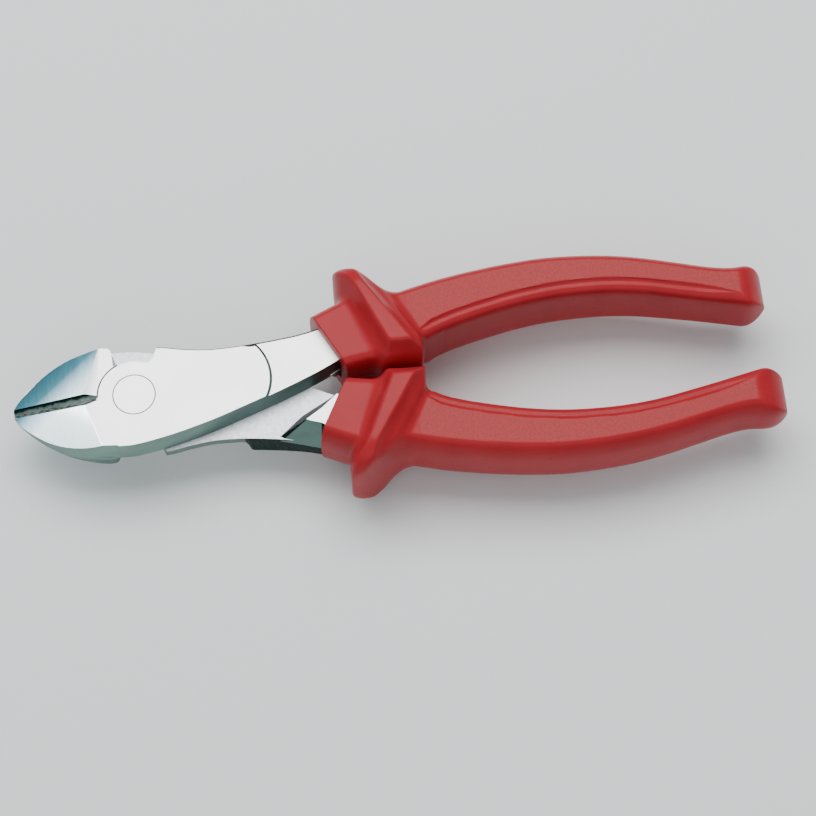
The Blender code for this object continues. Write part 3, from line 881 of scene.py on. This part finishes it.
def lap_steel():
    """The milled faces of the lap, their grey darker partly for the milling and partly as painted shade from
    the half that lies over them.
    """
    stops = ((0.3, (0.46, 0.47, 0.51)), (0.7, (0.64, 0.65, 0.69)))
    return grained_steel("lap_steel", (0.55, 0.56, 0.60), 0.45, 1300.0, 4.0, None, stops, 0.3, 0.00005)


def shaded_steel():
    """Painted shade and shadow: near-black with a fine grain, for walls and edges that lie in shade."""
    stops = ((0.35, (0.004, 0.009, 0.009)), (0.7, (0.022, 0.045, 0.042)))
    return grained_steel("shaded_steel", (0.03, 0.05, 0.05), 0.5, 1900.0, 3.0, None, stops, 0.4, 0.00008)


def grip_plastic():
    """Moulded red insulation, glossy on its curves."""
    finish, nodes, links, shader = new_material("grip_plastic", (0.36, 0.016, 0.022), 0.30, 0.0, 0.14)
    cloud = noise_node(nodes, links, 120.0, 4.0).outputs["Fac"]
    stops = ((0.3, (0.34, 0.014, 0.020)), (0.7, (0.38, 0.018, 0.024)))
    drive(nodes, links, shader, "Base Color", cloud, stops)
    grain = noise_node(nodes, links, 2500.0, 2.0).outputs["Fac"]
    drive(nodes, links, shader, "Roughness", grain, greys(0.27, 0.34))
    return finish


def grip_texture():
    """The spark-eroded texture of the flats."""
    finish, nodes, links, shader = new_material("grip_texture", (0.36, 0.03, 0.033), 0.5, 0.0, 0.2)
    spots = noise_node(nodes, links, 1900.0, 3.0).outputs["Fac"]
    stops = ((0.35, (0.31, 0.024, 0.027)), (0.65, (0.41, 0.038, 0.040)))
    drive(nodes, links, shader, "Base Color", spots, stops)
    drive(nodes, links, shader, "Roughness", spots, greys(0.40, 0.58))
    bump_node(nodes, links, shader, spots, 0.35, 0.00006)
    return finish


# ---------------------------------------------------------------- which face gets which finish

def plain_finish(c, n):
    """The finish of a face that depends on its height and its slope alone."""
    up = abs(n.z)
    # Sloping faces get SIDES, whose dark teal is painted reflection; faces that look straight up get SATIN
    slot = SATIN if up > FLAT_UP else SIDES
    if c.x < SEAM_X and abs(c.z) < SEAM_Z:
        slot = SIDES
    if up > LAP_UP and abs(c.z) < LAP_Z:
        slot = LAP
    if c.x < JAW_X and up > FACET_UP and n.x < -FACET_LEAN:
        slot = POLISHED
    return slot


def top_chamfer(c, n, side):
    """Whether a face is the narrow chamfer along the back of the half with the lower jaw, which gets painted
    shade.
    """
    return side > 0 and c.x > TOP_X and c.z > TOP_Z and n.y > 0.2 and 0.2 < n.z < 0.95


def in_shade(c, n, side):
    """Whether a side face gets painted shade: the lower jaw's outer bevel, the shank's inner wall or the
    rear's back.
    """
    jaw = side > 0 and LOWER_JAW_X[0] < c.x < LOWER_JAW_X[1] and c.y < LOWER_JAW_Y
    jaw = jaw and c.z > LOWER_JAW_Z and n.z > 0.25
    inward = SHANK_WALL_LEAN[0] * n.x + SHANK_WALL_LEAN[1] * n.y * -side
    wall = SHANK_WALL_X[0] < c.x < SHANK_WALL_X[1] and inward > -0.3 and c.z * side < 0.3
    back = side < 0 and c.x > REAR_BACK_X and c.z < 0.1 and n.y < -0.3 and n.z < 0.35
    return jaw or wall or back


def steel_finish(c, n, side):
    """The finish of a face with its centre at c and the normal n."""
    slot = plain_finish(c, n)
    # The upper jaw's bevel, and any bevel under the middle plane, gets GROUND's painted shade; the lower
    # jaw's bevel above it gets BRUSHED
    if slot == SIDES and c.x < JAW_X and abs(c.y) < BEVEL_Y and n.y * side > 0.3:
        slot = GROUND if side < 0 or c.z < 0 else BRUSHED
    # SHADED paints shade and shadow onto these faces
    if top_chamfer(c, n, side) or (slot == SIDES and in_shade(c, n, side)):
        slot = SHADED
    return slot


def paint_steel(obj, side):
    """Gives each face its finish. side is 1 for the half with the lower jaw, and -1 for the other."""
    for face in obj.data.polygons:
        face.material_index = steel_finish(face.center, face.normal, side)


def paint_grip(obj):
    """Slots: 0 glossy, 1 textured flats."""
    for face in obj.data.polygons:
        c, n = face.center, face.normal
        beside = TEXTURE_X[0] < c.x < TEXTURE_X[1] and TEXTURE_Z[0] < abs(c.z) < TEXTURE_Z[1]
        face.material_index = 1 if beside and abs(n.z) > TEXTURE_UP else 0


# ---------------------------------------------------------------- build

def build_front(steel):
    front = forging("front_forging", False)
    grind_jaw(front, LOWER_BEVEL)
    round_edges(front, EDGE_ROUND)
    drill(front)
    mend(front)
    paint_steel(front, 1)
    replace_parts(place(front, FRONT_BODY, steel), "front_half")


def build_rear(steel):
    """The rear half is ground upside down, so that its jaw's facet is on the same side as the front's."""
    rear = forging("rear_forging", True)
    transform(rear, -1, -1)
    transform(rear, -1, 1)
    grind_jaw(rear, UPPER_BEVEL)
    round_edges(rear, EDGE_ROUND)
    transform(rear, -1, 1)
    drill(rear)
    mend(rear)
    paint_steel(rear, -1)
    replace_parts(place(rear, REAR_BODY, steel), "rear_half")


def build_rivet(satin):
    rivet = turned("flush_rivet", rivet_profile())
    round_edges(rivet, RIVET_ROUND)
    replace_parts(place(rivet, FRONT_BODY, (satin,)), "joint_rivet")


def build_grips():
    plastic, texture = grip_plastic(), grip_texture()
    for name, side, end, node, body in (
        ("upper_handle_grip", 1, UPPER_END, "upper_grip", FRONT_BODY),
        ("lower_handle_grip", -1, LOWER_END, "lower_grip", REAR_BODY),
    ):
        piece = grip(name, side, end)
        paint_grip(piece)
        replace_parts(place(piece, body, (plastic, texture), sharp=50), node)


def build():
    satin = satin_steel()
    steel = [satin, side_steel(), polished_steel(), ground_steel()]
    steel += [lap_steel(), shaded_steel(), brushed_steel()]
    build_front(steel)
    build_rear(steel)
    build_rivet(satin)
    build_grips()


# ---------------------------------------------------------------- studio

def area_light(name, position, size, power, colour):
    """A rectangular light that faces the middle of the scene."""
    data = bpy.data.lights.new(name, "AREA")
    data.shape = "RECTANGLE"
    data.size, data.size_y = size
    data.energy = power
    data.color = colour
    light = bpy.data.objects.new(name, data)
    bpy.context.scene.collection.objects.link(light)
    light.location = position
    light.rotation_euler = (-Vector(position)).to_track_quat("-Z", "Y").to_euler()


def lay_floor():
    reach = FLOOR_REACH
    corners = [(-reach, -reach, 0), (reach, -reach, 0), (reach, reach, 0), (-reach, reach, 0)]
    mesh = bpy.data.meshes.new("floor")
    mesh.from_pydata(corners, [], [(0, 1, 2, 3)])
    floor = bpy.data.objects.new("floor", mesh)
    bpy.context.scene.collection.objects.link(floor)
    finish, nodes, links, shader = new_material("floor_white", (0.84, 0.84, 0.84), 0.9, 0.0, 0.1)
    floor.data.materials.append(finish)
    floor.location.z = -FLOOR_DROP


def sky():
    """Soft light from all round, which changes with height."""
    world = bpy.data.worlds.new("studio")
    bpy.context.scene.world = world
    world.use_nodes = True
    nodes, links = world.node_tree.nodes, world.node_tree.links
    background = nodes["Background"]
    where = nodes.new("ShaderNodeTexCoord")
    split = nodes.new("ShaderNodeSeparateXYZ")
    links.new(where.outputs["Generated"], split.inputs["Vector"])
    drive(nodes, links, background, "Color", split.outputs["Z"], SKY)
    background.inputs["Strength"].default_value = SKY_STRENGTH


def studio():
    lay_floor()
    for light in LIGHTS:
        area_light(*light)
    sky()


def camera():
    target = PIVOT + Vector(AIM) * MM
    level = math.cos(ELEVATION)
    back = Vector((math.sin(AZIMUTH) * level, -math.cos(AZIMUTH) * level, math.sin(ELEVATION)))
    data = bpy.data.cameras.new("camera")
    data.lens, data.sensor_width = LENS, SENSOR
    data.clip_start, data.clip_end = 0.01, 20.0
    eye = bpy.data.objects.new("camera", data)
    bpy.context.scene.collection.objects.link(eye)
    eye.location = target + back * DISTANCE
    eye.rotation_euler = (-back).to_track_quat("-Z", "Y").to_euler()
    bpy.context.scene.camera = eye


build()
studio()
camera()
